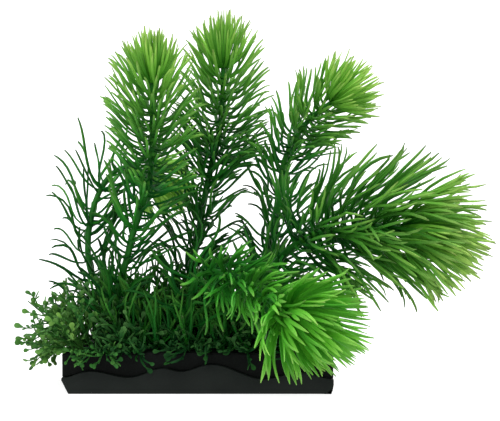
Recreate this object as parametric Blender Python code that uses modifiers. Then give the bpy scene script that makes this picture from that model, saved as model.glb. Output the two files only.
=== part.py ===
# Artificial aquarium plant: six leafy stems and low sprigs in a weighted base.
# Metres, +Z up, origin at the centre of the base's underside, +X to the right, +Y to the back.

import math

import bmesh
import bpy
from mathutils import Matrix, Vector

MM = 0.001
GAP = 0.3 * MM

# Base
BASE_LENGTH = 135.6 * MM
BASE_DEPTH = 62.0 * MM
BASE_HEIGHT = 20.5 * MM
LEFT_CHAMFER = (3.4 * MM, 6.8 * MM)
RIGHT_TAPER = (0.8 * MM, 4.6 * MM)
RIGHT_ROUND = 3.2 * MM
TRAY_FLOOR = 2.0 * MM
TRAY_WALL = 2.0 * MM
TRAY_END_WALL = 5.0 * MM
# Crests and troughs of the tray's wavy rim, left to right: (x, height) in mm.
RIM_TURNS = (
    (-67.8, 8.0), (-53.5, 11.3), (-34.0, 8.2), (-17.0, 12.7), (-8.0, 11.2),
    (6.7, 14.7), (33.0, 7.5), (51.0, 10.7), (67.8, 7.3),
)
RIM_STEPS = 4
BLOCK_EDGE = 1.4 * MM
SOCKET_DEPTH = 9.0 * MM
SOCKET_SIDES = 12

# Stems
STEM_STEP = 9.0 * MM
STEM_FOOT = BASE_HEIGHT - SOCKET_DEPTH + GAP
CURVE_STEPS = 16

# Leaf whorls
HUB_SIDES = 8
HUB_WALL = 1.1 * MM
HUB_HEIGHT = 1.8 * MM
LEAF_WIDTH = 2.3 * MM
LEAF_THICKNESS = 0.7 * MM
LEAF_BEND_AT = 0.5
LEAF_STEPS = 12
TUFT_ANGLES = (20, 10)
SPARSE_ANGLES = (82, 34)
# A dense whorl's leaves end at this share of the angle that they start with.
LEAF_RISE = 0.5
WHORL_TURN = 22.5

# Each plume: its stem's route in mm above the socket, its radius, the leaves' length, the dense whorls'
# spacing and number, the angles from the stem at which the leaves of the highest and the lowest of them
# start, in degrees, how far below the dense part each sparse whorl sits, with its leaves' length, and how
# far the whorls are turned about the stem.
PLUMES = {
    "left": {
        "route": ((-45.2, -8, 24), (-43.4, -9, 34), (-41.6, -10, 50), (-36.8, -11, 66), (-34.1, -12, 77),
                  (-29.3, -13, 91), (-26.2, -14, 100), (-24.6, -14, 108), (-23.4, -15, 124),
                  (-23.2, -16, 141), (-23.1, -16.5, 158.3)),
        "radius": 1.5, "leaf": 30, "spacing": 7.3, "dense": 7, "open": (50, 74),
        "sparse": (24,), "sparse_leaf": 29, "turn": 27,
    },
    "tall": {
        "route": ((-8.9, 8, 24), (-6.8, 10, 50), (-4.2, 12, 64), (-1.1, 14, 79), (1.6, 15, 94),
                  (5.3, 17, 112), (9.0, 18, 127), (11.2, 18, 145), (12.0, 18, 168.2)),
        "radius": 1.6, "leaf": 30, "spacing": 7.8, "dense": 6, "open": (50, 74),
        "sparse": (12.5, 34), "sparse_leaf": 29, "turn": 18,
    },
    "right": {
        "route": ((29.3, 6, 24), (32.4, 8, 47), (37.7, 9, 68), (40.4, 9, 85), (41.6, 9, 97.5),
                  (42.9, 8.5, 108.6), (44.7, 7.5, 117), (47.6, 6, 122.5), (50.6, 4, 128.5), (54.4, 2, 134),
                  (59.7, 0, 139.5), (70.5, -5, 147.6)),
        "radius": 1.5, "leaf": 27, "spacing": 7, "dense": 5, "open": (56, 70),
        "sparse": (12.5, 36), "sparse_leaf": 28, "turn": 21,
    },
    "reach": {
        "route": ((25.1, -14, 24), (29.0, -18, 43), (37.0, -26, 62), (51.0, -38, 77), (63.4, -48, 82),
                  (78.3, -58, 85), (90.0, -65, 85.5), (99.0, -69, 84)),
        "radius": 1.7, "leaf": 46, "spacing": 7.7, "dense": 7, "open": (60, 84),
        "sparse": (), "sparse_leaf": 0, "turn": 42,
    },
    "front": {
        "route": ((-6.5, -15, 24), (-5.0, -17, 40), (-2.5, -21, 53), (3.0, -28, 60), (10.0, -38, 61.5),
                  (19.5, -52, 59), (30.5, -66, 54.0), (45.0, -83, 47.0)),
        "radius": 1.6, "leaf": 43, "spacing": 7.8, "dense": 6, "open": (54, 80),
        "sparse": (), "sparse_leaf": 0, "turn": 6,
    },
    "arch": {
        "route": ((-54.0, 12, 24), (-52.9, 14, 46), (-58.5, 16, 55), (-60.8, 18, 65), (-60.8, 22, 78),
                  (-59.1, 26, 89), (-55.2, 30, 100), (-48.5, 34, 109), (-39.0, 38, 112), (-28.5, 41, 106)),
        "radius": 1.5, "leaf": 26, "spacing": 7.6, "dense": 1, "open": (50, 50),
        "sparse": (24, 46), "sparse_leaf": 30, "turn": 15,
    },
}

# Low sprigs, flat lobed fans: foot (x, y) in mm, turn about the vertical, lean to the front and tilt to the
# side in degrees, height in mm and half of the fan's angle.
SPRIGS = {
    "sprig_left_front": ((-58, -21), 6, 8, -56, 42, 33),
    "sprig_left_middle": ((-60, -2), -8, 4, -40, 46, 36),
    "sprig_left_back": ((-62, 22), 10, -10, -20, 42, 34),
    "sprig_middle_front": ((-33, -23), -4, 32, -10, 32, 46),
    "sprig_middle": ((-27, 2), 12, 2, 8, 34, 42),
    "sprig_back": ((-20, 24), -6, -14, 6, 36, 44),
    "sprig_right_front": ((34, -22), 8, 30, 16, 32, 42),
}
SPRIG_THICKNESS = 1.2 * MM
SPRIG_FOOT = 3.0 * MM
SPRIG_LOBES = 5
POINTS_A_LOBE = 4
# How deep the notches between the lobes are, and how much shorter the outer lobes are than the middle one.
SPRIG_NOTCH = 0.16
SPRIG_ROUNDING = 0.25

COLOURS = {
    "tray": ((0.017, 0.020, 0.018, 1), 0.34),
    "block": ((0.006, 0.006, 0.007, 1), 0.6),
    "stem": ((0.012, 0.11, 0.022, 1), 0.42),
    "leaf": ((0.065, 0.30, 0.028, 1), 0.42),
    "sprig": ((0.030, 0.12, 0.028, 1), 0.5),
}


def clear_scene():
    for obj in list(bpy.data.objects):
        bpy.data.objects.remove(obj, do_unlink=True)


def collection(name):
    made = bpy.data.collections.new(name)
    bpy.context.scene.collection.children.link(made)
    return made


def plastic(name):
    colour, roughness = COLOURS[name]
    made = bpy.data.materials.new(name)
    made.use_nodes = True
    shader = made.node_tree.nodes["Principled BSDF"]
    shader.inputs["Base Color"].default_value = colour
    shader.inputs["Roughness"].default_value = roughness
    shader.inputs["Metallic"].default_value = 0.0
    return made


def add_mesh(name, bm, group, material=None):
    bmesh.ops.recalc_face_normals(bm, faces=bm.faces)
    mesh = bpy.data.meshes.new(name)
    bm.to_mesh(mesh)
    bm.free()
    obj = bpy.data.objects.new(name, mesh)
    group.objects.link(obj)
    if material:
        mesh.materials.append(material)
    return obj


def box(name, low, high, group):
    bm = bmesh.new()
    bmesh.ops.create_cube(bm, size=1)
    size = Vector(high) - Vector(low)
    middle = (Vector(high) + Vector(low)) / 2
    bmesh.ops.transform(bm, matrix=Matrix.Translation(middle) @ Matrix.Diagonal((*size, 1)), verts=bm.verts)
    return add_mesh(name, bm, group)


def cutter(obj):
    obj.hide_render = True
    obj.display_type = "WIRE"
    return obj


def cut(obj, tool):
    change = obj.modifiers.new(tool.name, "BOOLEAN")
    change.operation = "DIFFERENCE"
    change.object = tool


def as_mesh(curve_object, group):
    """The curve's solid as a mesh object with its caps joined to its sides."""
    graph = bpy.context.evaluated_depsgraph_get()
    mesh = bpy.data.meshes.new_from_object(curve_object.evaluated_get(graph))
    bm = bmesh.new()
    bm.from_mesh(mesh)
    bmesh.ops.remove_doubles(bm, verts=bm.verts, dist=0.00001)
    bm.to_mesh(mesh)
    bm.free()
    obj = bpy.data.objects.new(curve_object.name, mesh)
    obj.matrix_world = curve_object.matrix_world
    group.objects.link(obj)
    name = curve_object.name
    bpy.data.objects.remove(curve_object, do_unlink=True)
    obj.name = name
    return obj


def flat_curve(name, outline, thickness, group):
    """A flat outline in the curve's own XY plane, given a thickness along its Z."""
    curve = bpy.data.curves.new(name, "CURVE")
    curve.dimensions = "2D"
    curve.fill_mode = "BOTH"
    curve.extrude = thickness / 2
    spline = curve.splines.new("POLY")
    spline.points.add(len(outline) - 1)
    for point, (x, y) in zip(spline.points, outline):
        point.co = (x, y, 0, 1)
    spline.use_cyclic_u = True
    obj = bpy.data.objects.new(name, curve)
    group.objects.link(obj)
    return obj


# Base

def rim_points(raised):
    """The rim's wave from left to right, eased between its crests and troughs."""
    points = []
    for (x0, z0), (x1, z1) in zip(RIM_TURNS, RIM_TURNS[1:]):
        for step in range(RIM_STEPS):
            share = step / RIM_STEPS
            ease = (1 - math.cos(math.pi * share)) / 2
            points.append(((x0 + (x1 - x0) * share) * MM, (z0 + (z1 - z0) * ease) * MM + raised))
    x, z = RIM_TURNS[-1]
    points.append((x * MM, z * MM + raised))
    return points


def end_profile():
    """The ends below the rim: a flat chamfer on the left, a round corner under a taper on the right."""
    half = BASE_LENGTH / 2
    chamfer_x, chamfer_z = LEFT_CHAMFER
    taper_x, taper_z = RIGHT_TAPER
    left = [(-half, chamfer_z), (-half + chamfer_x, 0)]
    centre = (half - taper_x - RIGHT_ROUND, RIGHT_ROUND)
    right = [
        (centre[0] + RIGHT_ROUND * math.sin(turn), centre[1] - RIGHT_ROUND * math.cos(turn))
        for turn in (math.radians(angle) for angle in (0, 30, 60, 90))
    ]
    return left + right + [(half, taper_z)]


def tray_prism(name, lower_edge, raised, group):
    """The tray's front outline, its wavy rim raised by a little, drawn through the base's depth."""
    obj = flat_curve(name, lower_edge + rim_points(raised)[::-1], BASE_DEPTH, group)
    obj.rotation_euler = (math.pi / 2, 0, 0)
    bpy.context.view_layer.update()
    return as_mesh(obj, group)


def build_base(parts, cutters):
    half = BASE_LENGTH / 2
    inner = Vector((half - TRAY_END_WALL, BASE_DEPTH / 2 - TRAY_WALL, BASE_HEIGHT))
    tray = tray_prism("base_tray", end_profile(), 0, parts)
    tray.data.materials.append(plastic("tray"))
    pocket = box("tray_pocket", (-inner.x, -inner.y, TRAY_FLOOR), inner, cutters)
    cut(tray, cutter(pocket))

    # The block fills the tray and steps out over its ends, just clear of the rim.
    block_y = inner.y - GAP
    block = box("base_block", (-half, -block_y, TRAY_FLOOR + GAP), (half, block_y, BASE_HEIGHT), parts)
    block.data.materials.append(plastic("block"))
    edges = block.modifiers.new("soft edges", "BEVEL")
    edges.width = BLOCK_EDGE
    edges.segments = 2
    edges.limit_method = "ANGLE"
    below = [(-BASE_LENGTH, GAP), (-BASE_LENGTH, -GAP), (BASE_LENGTH, -GAP), (BASE_LENGTH, GAP)]
    step = tray_prism("block_step", below, GAP, cutters)
    plug_x = inner.x - GAP
    plug_corner = Vector((plug_x, BASE_DEPTH, BASE_HEIGHT))
    cut(step, cutter(box("block_plug", -plug_corner, plug_corner, cutters)))
    cut(block, cutter(step))
    for name, plume in PLUMES.items():
        x, y, _ = plume["route"][0]
        bm = bmesh.new()
        round_radius = (plume["radius"] * MM + GAP) / math.cos(math.pi / SOCKET_SIDES)
        bmesh.ops.create_cone(
            bm, cap_ends=True, segments=SOCKET_SIDES, radius1=round_radius, radius2=round_radius,
            depth=2 * SOCKET_DEPTH,
        )
        socket = add_mesh(name + "_socket", bm, cutters)
        socket.location = (x * MM, y * MM, BASE_HEIGHT)
        cut(block, cutter(socket))


# Stems

def smooth_route(plume):
    """Points about STEM_STEP apart on a smooth curve through the route, from the socket's floor up."""
    route = [Vector(point) * MM for point in plume["route"]]
    foot, neck = (Vector((route[0].x, route[0].y, height)) for height in (STEM_FOOT, BASE_HEIGHT))
    knots = [foot, neck, *route]
    knots = [2 * knots[0] - knots[1], *knots, 2 * knots[-1] - knots[-2]]
    fine = []
    for a, b, c, d in zip(knots, knots[1:], knots[2:], knots[3:]):
        for step in range(CURVE_STEPS):
            t = step / CURVE_STEPS
            square = (2 * a - 5 * b + 4 * c - d) * t ** 2
            cube = (3 * b - a - 3 * c + d) * t ** 3
            fine.append(b + ((c - a) * t + square + cube) / 2)
    fine.append(knots[-2])
    total = length_of(fine)
    pieces = round(total / STEM_STEP)
    return [along(fine, total * index / pieces)[0] for index in range(pieces + 1)]


def along(points, distance):
    """The place and the direction at a distance along a row of points."""
    for p, q in zip(points, points[1:]):
        length = (q - p).length
        if distance <= length or q is points[-1]:
            return p + (q - p) * (distance / length), (q - p).normalized()
        distance -= length


def length_of(points):
    return sum((q - p).length for p, q in zip(points, points[1:]))


def build_stem(name, plume, points, parts, material):
    curve = bpy.data.curves.new(name + "_stem", "CURVE")
    curve.dimensions = "3D"
    curve.bevel_depth = plume["radius"] * MM
    curve.bevel_resolution = 2
    curve.use_fill_caps = True
    spline = curve.splines.new("POLY")
    spline.points.add(len(points) - 1)
    for point, place in zip(spline.points, points):
        point.co = (*place, 1)
    curve.materials.append(material)
    parts.objects.link(bpy.data.objects.new(name + "_stem", curve))


# Leaf whorls

def leaf_point(share, length, start, angles):
    """A place on a leaf's middle line, out from the stem and up it, with the line's slope there."""
    first, last = (math.radians(angle) for angle in angles)
    radius, height = start
    for step in range(LEAF_STEPS):
        slope = first + (last - first) * share * (step + 0.5) / LEAF_STEPS
        radius += math.sin(slope) * length * share / LEAF_STEPS
        height += math.cos(slope) * length * share / LEAF_STEPS
    return radius, height, first + (last - first) * share


def whorl(name, stem_radius, leaf_length, angles, parts, material):
    """A hub ring with a leaf drawn out of each side, bent once and brought to a point."""
    inner = (stem_radius + GAP) / math.cos(math.pi / HUB_SIDES)
    outer = inner + HUB_WALL
    bm = bmesh.new()
    ring = bmesh.ops.create_circle(bm, cap_ends=False, segments=HUB_SIDES, radius=outer)["verts"]
    rim = list({edge for vert in ring for edge in vert.link_edges})
    drawn = bmesh.ops.extrude_edge_only(bm, edges=rim)["geom"]
    inner_verts = [item for item in drawn if isinstance(item, bmesh.types.BMVert)]
    bmesh.ops.scale(bm, vec=(inner / outer, inner / outer, 1), verts=inner_verts)
    raised = bmesh.ops.extrude_face_region(bm, geom=bm.faces[:], use_keep_orig=True)["geom"]
    raised = [item for item in raised if isinstance(item, bmesh.types.BMVert)]
    bmesh.ops.translate(bm, vec=(0, 0, HUB_HEIGHT), verts=raised)
    bmesh.ops.recalc_face_normals(bm, faces=bm.faces)
    sides = [face for face in bm.faces if face.calc_center_median().xy.dot(face.normal.xy) > inner / 2]
    start = (outer * math.cos(math.pi / HUB_SIDES), HUB_HEIGHT / 2)
    for side in sides:
        out = Vector((*side.normal.xy, 0)).normalized()
        across = Vector((-out.y, out.x, 0))
        face = bmesh.ops.extrude_discrete_faces(bm, faces=[side])["faces"][0]
        radius, height, slope = leaf_point(LEAF_BEND_AT, leaf_length, start, angles)
        blade_up = Vector((-math.cos(slope) * out.x, -math.cos(slope) * out.y, math.sin(slope)))
        middle = out * radius + Vector((0, 0, height))
        for vert in face.verts:
            wide = math.copysign(LEAF_WIDTH / 2, vert.co.dot(across))
            thick = math.copysign(LEAF_THICKNESS / 2, vert.co.z - HUB_HEIGHT / 2)
            vert.co = middle + across * wide + blade_up * thick
        tip = bmesh.ops.extrude_discrete_faces(bm, faces=[face])["faces"][0]
        radius, height, _ = leaf_point(1, leaf_length, start, angles)
        bmesh.ops.pointmerge(bm, verts=tip.verts[:], merge_co=out * radius + Vector((0, 0, height)))
    return add_mesh(name, bm, parts, material)


def place_on_stem(obj, points, distance, turn):
    spot, direction = along(points, distance)
    side = direction.cross(Vector((0, 1, 0))).normalized()
    facing = Matrix((side, direction.cross(side), direction)).transposed().to_4x4()
    spin = Matrix.Rotation(math.radians(turn), 4, "Z")
    obj.matrix_world = Matrix.Translation(spot) @ facing @ spin


def build_plume(name, plume, parts, stem_material, leaf_material):
    points = smooth_route(plume)
    build_stem(name, plume, points, parts, stem_material)
    radius, leaf = plume["radius"] * MM, plume["leaf"] * MM
    distance = length_of(points) - 2 * HUB_HEIGHT
    tuft = whorl(name + "_tuft", radius, leaf, TUFT_ANGLES, parts, leaf_material)
    place_on_stem(tuft, points, distance, plume["turn"])
    count = plume["dense"]
    for index in range(count):
        distance -= plume["spacing"] * MM
        share = index / max(count - 1, 1)
        first = plume["open"][0] + (plume["open"][1] - plume["open"][0]) * share
        angles = (first, first * LEAF_RISE)
        made = whorl(f"{name}_whorl_{index + 1}", radius, leaf, angles, parts, leaf_material)
        place_on_stem(made, points, distance, plume["turn"] + WHORL_TURN * (index + 1))
    for index, below in enumerate(plume["sparse"]):
        made = whorl(
            f"{name}_whorl_{count + index + 1}", radius, plume["sparse_leaf"] * MM, SPARSE_ANGLES, parts,
            leaf_material,
        )
        place_on_stem(made, points, distance - below * MM, plume["turn"] + WHORL_TURN * (count + index + 1))


# Low sprigs

def build_sprigs(parts, material):
    for name, ((x, y), turn, lean, tilt, height, half_angle) in SPRIGS.items():
        outline = [(SPRIG_FOOT / 2, 0), (-SPRIG_FOOT / 2, 0)]
        count = POINTS_A_LOBE * SPRIG_LOBES
        for index in range(count + 1):
            share = index / count
            angle = math.radians(tilt - half_angle + 2 * half_angle * share)
            lobe = 1 - SPRIG_NOTCH * (1 + math.cos(2 * math.pi * SPRIG_LOBES * share)) / 2
            reach = height * MM * lobe * (1 - SPRIG_ROUNDING * abs(2 * share - 1))
            outline.append((reach * math.sin(angle), SPRIG_FOOT + reach * math.cos(angle)))
        obj = flat_curve(name, outline, SPRIG_THICKNESS, parts)
        obj.data.materials.append(material)
        obj.location = (x * MM, y * MM, BASE_HEIGHT + GAP + SPRIG_THICKNESS / 2)
        obj.rotation_euler = (math.radians(90 + lean), 0, math.radians(turn))


def main():
    clear_scene()
    parts = collection("aquarium_plant")
    cutters = collection("cutters")
    build_base(parts, cutters)
    stem_material = plastic("stem")
    leaf_material = plastic("leaf")
    for name, plume in PLUMES.items():
        build_plume(name, plume, parts, stem_material, leaf_material)
    build_sprigs(parts, plastic("sprig"))


main()
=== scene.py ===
# Artificial aquarium plant: six leafy stems and low sprigs in a weighted base.
# Metres, +Z up, origin at the centre of the base's underside, +X to the right, +Y to the back.

import math
import random

import bmesh
import bpy
from mathutils import Matrix, Vector


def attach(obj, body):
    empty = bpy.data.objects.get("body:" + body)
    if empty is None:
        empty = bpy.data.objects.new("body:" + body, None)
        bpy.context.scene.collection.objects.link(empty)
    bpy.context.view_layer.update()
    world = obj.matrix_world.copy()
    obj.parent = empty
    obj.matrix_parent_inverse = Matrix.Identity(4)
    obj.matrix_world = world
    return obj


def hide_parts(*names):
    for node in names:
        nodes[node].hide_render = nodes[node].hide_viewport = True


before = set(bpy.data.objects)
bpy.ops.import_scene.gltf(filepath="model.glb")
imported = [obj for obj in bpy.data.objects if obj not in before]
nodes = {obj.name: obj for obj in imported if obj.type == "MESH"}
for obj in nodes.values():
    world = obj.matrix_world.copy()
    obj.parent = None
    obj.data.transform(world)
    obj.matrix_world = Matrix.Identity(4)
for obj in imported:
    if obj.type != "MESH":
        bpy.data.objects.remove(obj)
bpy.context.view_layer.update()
mm = 0.001
print("frame loaded,", len(nodes), "nodes")


# Materials

def newMaterial(name, roughness, specular=0.5):
    made = bpy.data.materials.new(name)
    made.use_nodes = True
    shader = made.node_tree.nodes["Principled BSDF"]
    shader.inputs["Roughness"].default_value = roughness
    shader.inputs["Specular IOR Level"].default_value = specular
    return made, made.node_tree, shader


def addNode(tree, kind, **settings):
    made = tree.nodes.new(kind)
    for name, value in settings.items():
        setattr(made, name, value)
    return made


def noise(tree, scale, detail=2.0, roughness=0.5, stretch=(1, 1, 1)):
    place = addNode(tree, "ShaderNodeTexCoord")
    mapping = addNode(tree, "ShaderNodeMapping")
    mapping.inputs["Scale"].default_value = stretch
    tree.links.new(place.outputs["Object"], mapping.inputs["Vector"])
    made = addNode(tree, "ShaderNodeTexNoise")
    made.inputs["Scale"].default_value = scale
    made.inputs["Detail"].default_value = detail
    made.inputs["Roughness"].default_value = roughness
    tree.links.new(mapping.outputs["Vector"], made.inputs["Vector"])
    return made.outputs["Fac"]


def ramp(tree, value, stops):
    made = addNode(tree, "ShaderNodeValToRGB")
    points = made.color_ramp.elements
    while len(points) < len(stops):
        points.new(0.5)
    for point, (position, colour) in zip(points, stops):
        point.position = position
        point.color = (*colour, 1)
    tree.links.new(value, made.inputs["Fac"])
    return made.outputs["Color"]


def span(tree, value, low, high):
    made = addNode(tree, "ShaderNodeMapRange")
    made.inputs["To Min"].default_value = low
    made.inputs["To Max"].default_value = high
    tree.links.new(value, made.inputs["Value"])
    return made.outputs["Result"]


def mixColour(tree, share, first, second, kind="MIX"):
    made = addNode(tree, "ShaderNodeMix", data_type="RGBA", blend_type=kind)
    for socket, value in (("Factor_Float", share), ("A_Color", first), ("B_Color", second)):
        end = next(item for item in made.inputs if item.identifier == socket)
        if isinstance(value, bpy.types.NodeSocket):
            tree.links.new(value, end)
        else:
            end.default_value = value
    return next(item for item in made.outputs if item.identifier == "Result_Color")


def bump(tree, shader, height, strength, distance):
    made = addNode(tree, "ShaderNodeBump")
    made.inputs["Strength"].default_value = strength
    made.inputs["Distance"].default_value = distance
    tree.links.new(height, made.inputs["Height"])
    tree.links.new(made.outputs["Normal"], shader.inputs["Normal"])


# Moulded soft plastic. In the tone attribute red is the place along the leaf, green the age of its whorl
# and blue the leaf's own shade.
leafLook = {"roughness": (0.36, 0.52), "value": (0.72, 1.28), "hue": (0.51, 0.49), "clouds": (0.82, 1.18)}


def leafPlastic(name, specular, young, old):
    made, tree, shader = newMaterial(name, 0.42, specular)
    tone = addNode(tree, "ShaderNodeAttribute", attribute_name="tone")
    parts = addNode(tree, "ShaderNodeSeparateColor")
    tree.links.new(tone.outputs["Color"], parts.inputs["Color"])
    # Along the leaf the ramps darken towards the root: the plastic's own gradient, deepened as painted shade
    # near the stem
    light = ramp(tree, parts.outputs["Red"], young)
    dark = ramp(tree, parts.outputs["Red"], old)
    colour = mixColour(tree, parts.outputs["Green"], light, dark)
    shade = addNode(tree, "ShaderNodeHueSaturation")
    tree.links.new(colour, shade.inputs["Color"])
    tree.links.new(span(tree, parts.outputs["Blue"], *leafLook["value"]), shade.inputs["Value"])
    tree.links.new(span(tree, parts.outputs["Blue"], *leafLook["hue"]), shade.inputs["Hue"])
    cloud = span(tree, noise(tree, 260, 3), *leafLook["clouds"])
    final = mixColour(tree, 1.0, shade.outputs["Color"], cloud, "MULTIPLY")
    tree.links.new(final, shader.inputs["Base Color"])
    tree.links.new(span(tree, noise(tree, 420, 2), *leafLook["roughness"]), shader.inputs["Roughness"])
    bump(tree, shader, noise(tree, 1500, 3, 0.6), 0.25, 0.0002)
    return made


# Colours from the leaf's root (0) to its tip (1): young leaves at the top, then the old ones below.
# The dark roots are partly the plastic's own dark-to-light gradient and partly painted shade where the
# leaves meet the stem.
leafColours = {
    "upright": (
        [(0, (0.04, 0.222, 0.013)), (0.3, (0.096, 0.33, 0.029)), (0.7, (0.166, 0.4, 0.05)),
         (0.92, (0.28, 0.45, 0.1)), (1, (0.19, 0.28, 0.07))],
        [(0, (0.002, 0.048, 0.006)), (0.35, (0.006, 0.096, 0.012)), (0.7, (0.028, 0.2, 0.024)),
         (0.92, (0.084, 0.28, 0.04)), (1, (0.052, 0.13, 0.022))],
    ),
    "reach": (
        [(0, (0.014, 0.155, 0.008)), (0.3, (0.066, 0.29, 0.02)), (0.7, (0.152, 0.38, 0.046)),
         (0.92, (0.28, 0.46, 0.105)), (1, (0.18, 0.26, 0.07))],
        [(0, (0.002, 0.042, 0.004)), (0.35, (0.006, 0.08, 0.007)), (0.7, (0.028, 0.17, 0.017)),
         (0.92, (0.08, 0.23, 0.034)), (1, (0.044, 0.11, 0.02))],
    ),
    "front": (
        [(0, (0.026, 0.23, 0.008)), (0.3, (0.05, 0.31, 0.016)), (0.7, (0.082, 0.36, 0.026)),
         (0.92, (0.15, 0.39, 0.056)), (1, (0.17, 0.33, 0.07))],
        [(0, (0.003, 0.06, 0.003)), (0.35, (0.006, 0.095, 0.006)), (0.7, (0.022, 0.19, 0.014)),
         (0.92, (0.07, 0.28, 0.034)), (1, (0.09, 0.24, 0.042))],
    ),
    "arch": (
        [(0, (0.03, 0.18, 0.012)), (0.3, (0.09, 0.3, 0.026)), (0.7, (0.19, 0.43, 0.055)),
         (0.92, (0.3, 0.52, 0.11)), (1, (0.26, 0.42, 0.11))],
        [(0, (0.006, 0.08, 0.006)), (0.35, (0.02, 0.16, 0.01)), (0.7, (0.08, 0.27, 0.024)),
         (0.92, (0.17, 0.37, 0.05)), (1, (0.13, 0.26, 0.046))],
    ),
    "lower": (
        [(0, (0.007, 0.108, 0.01)), (0.4, (0.016, 0.15, 0.016)), (0.8, (0.05, 0.205, 0.026)),
         (1, (0.038, 0.13, 0.02))],
        [(0, (0.003, 0.058, 0.006)), (0.5, (0.008, 0.082, 0.01)), (1, (0.008, 0.056, 0.008))],
    ),
    "sprigLight": (
        [(0, (0.015, 0.075, 0.008)), (0.5, (0.044, 0.14, 0.02)), (1, (0.115, 0.25, 0.05))],
        [(0, (0.003, 0.032, 0.005)), (0.5, (0.008, 0.062, 0.01)), (1, (0.026, 0.125, 0.022))],
    ),
    # Darker moss between the stems: partly its own darker green, partly painted shade under the plumes
    "sprigDarkShaded": (
        [(0, (0.007, 0.054, 0.008)), (0.5, (0.02, 0.098, 0.017)), (1, (0.085, 0.195, 0.055))],
        [(0, (0.001, 0.02, 0.003)), (0.5, (0.004, 0.036, 0.007)), (1, (0.012, 0.06, 0.013))],
    ),
}
leafShine = {
    "upright": 0.05, "reach": 0.05, "front": 0.08, "arch": 0.05,
    "lower": 0.03, "sprigLight": 0.06, "sprigDarkShaded": 0.04,
}
leafMaterials = {
    name: leafPlastic(name + " leaf plastic", leafShine[name], *stops)
    for name, stops in leafColours.items()
}
print("leaf plastics")


# Soft shapes drawn out along a line

lineSteps = 14
lineWave = 3.4           # radians of the sideways wave from a leaf's root to its tip
# The base's box and the ground, which growing lines go round
keepOff = {"half": 69 * mm, "deep": 32.5 * mm, "top": 21 * mm, "skin": 1.2 * mm, "ground": 1.2 * mm}


# Turns a growing line along the base or the ground where it would run into them
def clearWay(spot, way, step):
    ahead = spot + way * step
    inside = abs(ahead.x) < keepOff["half"] and abs(ahead.y) < keepOff["deep"] and ahead.z < keepOff["top"]
    if inside and spot.z > keepOff["top"] - keepOff["skin"]:
        way.z = max(way.z, 0.05)
    elif inside and abs(spot.x) > keepOff["half"]:
        way.x = 0.0
    elif inside:
        way.y = math.copysign(0.02, spot.y)
    if ahead.z < keepOff["ground"]:
        way.z = max(way.z, 0.0)
    return way.normalized()


def either(rng, most):
    return rng.uniform(-most, most)


# The slope at a place along the leaf, on a smooth curve through its slopes at root, middle and tip
def bentSlope(slopes, share):
    first, middle, last = slopes
    return (first * (1 - share) * (1 - 2 * share) + 4 * middle * share * (1 - share)
            + last * share * (2 * share - 1))


# A leaf's middle line in world space. place holds the whorl's frame, and start is the distance out from
# the stem and up it.
def leafLine(place, start, azimuth, length, slopes, sway=0.0, droop=0.0, waves=1.0):
    out, up = start
    spot = place @ Vector((out * math.cos(azimuth), out * math.sin(azimuth), up))
    turned = place.to_3x3()
    line = []
    for step in range(lineSteps + 1):
        share = step / lineSteps
        slope = math.radians(bentSlope(slopes, share))
        swung = azimuth + sway * math.sin(lineWave * waves * share)
        flat = Vector((math.cos(swung), math.sin(swung), 0))
        way = turned @ (flat * math.sin(slope) + Vector((0, 0, math.cos(slope))))
        way.z -= droop * share
        way = clearWay(spot, way.normalized(), length / lineSteps)
        line.append((spot.copy(), way, turned @ Vector((-math.sin(swung), math.cos(swung), 0))))
        spot += way * length / lineSteps
    return line


# Past the line's end the spot runs on straight ahead
def onLine(line, share):
    last = len(line) - 1
    index = min(int(share * last), last - 1)
    part = share * last - index
    held = min(part, 1)
    (spotA, wayA, acrossA), (spotB, wayB, acrossB) = line[index], line[index + 1]
    return spotA.lerp(spotB, part), wayA.lerp(wayB, held).normalized(), acrossA.lerp(acrossB, held)


# The matrix that lays a section of unit width and thickness across the line
def station(line, share, width, thick, roll=0.0, aside=0.0, lift=0.0, bend=0.0, shift=0.0):
    spot, way, across = onLine(line, share)
    up = way.cross(across).normalized()
    across = up.cross(way)
    facing = Matrix((across, up, way)).transposed().to_4x4()
    return (Matrix.Translation(spot) @ facing @ Matrix.Rotation(roll, 4, "Z")
            @ Matrix.Translation((aside, lift, 0)) @ Matrix.Rotation(bend, 4, "Y")
            @ Matrix.Diagonal((width, thick, 1, 1)) @ Matrix.Translation((-shift, 0, 0)))


# A flat section in one or more strips side by side; crown lifts its middle
def sectionFaces(bm, count, first, crown=0.0):
    made = bmesh.ops.create_grid(bm, x_segments=count, y_segments=1, size=0.5)["verts"]
    inner = [vert for vert in made if abs(vert.co.x) < 0.49]
    bmesh.ops.translate(bm, vec=(0, crown, 0), verts=inner)
    bmesh.ops.transform(bm, matrix=first, verts=made)
    return sorted({face for vert in made for face in vert.link_faces}, key=lambda face: face.index)


def roundFaces(bm, sides, first):
    made = bmesh.ops.create_circle(bm, cap_ends=True, segments=sides, radius=0.5)["verts"]
    bmesh.ops.transform(bm, matrix=first, verts=made)
    return list({face for vert in made for face in vert.link_faces})


def newVerts(geom):
    return [item for item in geom if isinstance(item, bmesh.types.BMVert)]


def setTone(bm, verts, tone):
    layer = bm.verts.layers.float_color["tone"]
    for vert in verts:
        vert[layer] = tone


# Draws the faces from station to station; each stop is (matrix, place along the leaf)
def drawOut(bm, faces, stops, age, shade):
    for (before, _), (after, share) in zip(stops, stops[1:]):
        edges = list({edge for face in faces for edge in face.edges})
        made = bmesh.ops.extrude_face_region(bm, geom=faces + edges)["geom"]
        verts = newVerts(made)
        faces = [item for item in made if isinstance(item, bmesh.types.BMFace)]
        bmesh.ops.transform(bm, matrix=after @ before.inverted(), verts=verts)
        setTone(bm, verts, (share, age, shade, 1))
    return faces


def newPart():
    bm = bmesh.new()
    bm.verts.layers.float_color.new("tone")
    return bm


def joinPart(whole, part):
    mesh = bpy.data.meshes.new("part")
    part.to_mesh(mesh)
    part.free()
    whole.from_mesh(mesh)
    bpy.data.meshes.remove(mesh)


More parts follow.
